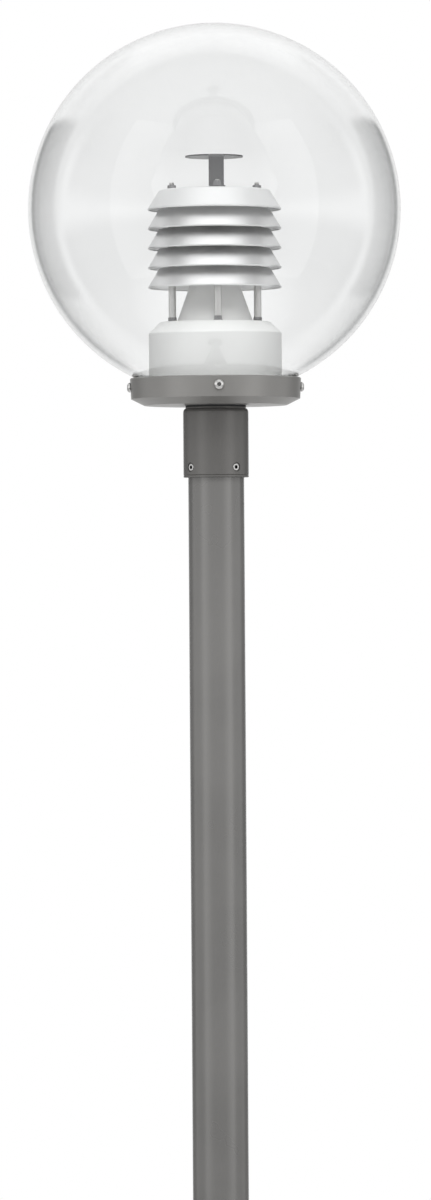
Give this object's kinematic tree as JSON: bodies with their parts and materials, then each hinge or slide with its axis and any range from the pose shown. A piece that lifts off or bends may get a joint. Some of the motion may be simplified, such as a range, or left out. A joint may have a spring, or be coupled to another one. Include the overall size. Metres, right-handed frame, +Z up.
{
  "type": "globe street lamp",
  "caption": "Street lamp on a plain round pole: a clear globe on a cast canopy, with a louvred downlight optic over its gear housing inside.",
  "frame": {"origin": "on the pole's axis at the underside of the base flange", "axes": "+Z up along the pole, -Y towards the front that the picture shows, +X to its right"},
  "size_m": [0.3999, 0.3998, 2.4322],
  "materials": {
    "pole_paint": "satin powder coat, warm grey",
    "cast_paint": "fine-textured powder coat on a casting, warm grey",
    "base_paint": "satin powder coat on steel plate, warm grey",
    "clear_acrylic": "clear blown acrylic, polished",
    "louvre_aluminium": "satin anodised sheet",
    "housing_aluminium": "spun and satin anodised",
    "cone_aluminium": "spun, bright satin",
    "deflector_paint": "satin grey paint on folded sheet",
    "stainless": "turned and bright",
    "zinc_steel": "zinc-plated sheet",
    "dark_steel": "lacquered laminations",
    "coil_resin": "resin-dipped winding",
    "black_rubber": "matt EPDM",
    "white_silicone": "matt silicone",
    "can_aluminium": "drawn can",
    "grey_plastic": "moulded",
    "block_plastic": "moulded",
    "brass": "turned and bright",
    "porcelain": "glazed",
    "lamp_glass": "white-coated bulb with a nickel screw cap"
  },
  "bodies": {
    "root": {"base_flange": "base_paint", "pole_tube": "pole_paint", "pole_sleeve": "cast_paint", "sleeve_set_screws": "stainless", "sleeve_gasket": "black_rubber", "canopy": "cast_paint", "canopy_bolts": "stainless", "cable_grommet": "black_rubber", "globe_gasket": "white_silicone", "globe": "clear_acrylic", "globe_screws": "stainless", "gear_tray": "zinc_steel", "tray_nuts": "stainless", "ballast_core": "dark_steel", "ballast_winding": "coil_resin", "ballast_screws": "stainless", "capacitor": "can_aluminium", "ignitor": "grey_plastic", "stud_nuts": "stainless", "terminal_block": "block_plastic", "terminal_screws": "brass", "earth_screw": "brass", "gear_housing": "housing_aluminium", "holder_bracket": "zinc_steel", "bracket_screws": "stainless", "lampholder_body": "porcelain", "lampholder_shell": "brass", "holder_contact": "brass", "lamp": "lamp_glass", "cone_reflector": "cone_aluminium", "tie_rods": "stainless", "foot_washers": "stainless", "foot_nuts": "stainless", "lower_spacers": "louvre_aluminium", "louvre_ring_1": "louvre_aluminium", "louvre_ring_2": "louvre_aluminium", "louvre_ring_3": "louvre_aluminium", "louvre_ring_4": "louvre_aluminium", "ring_spacers": "louvre_aluminium", "louvre_cap": "louvre_aluminium", "heat_deflector": "deflector_paint", "cap_washers": "stainless", "rod_nuts": "stainless"}
  },
  "joints": []
}
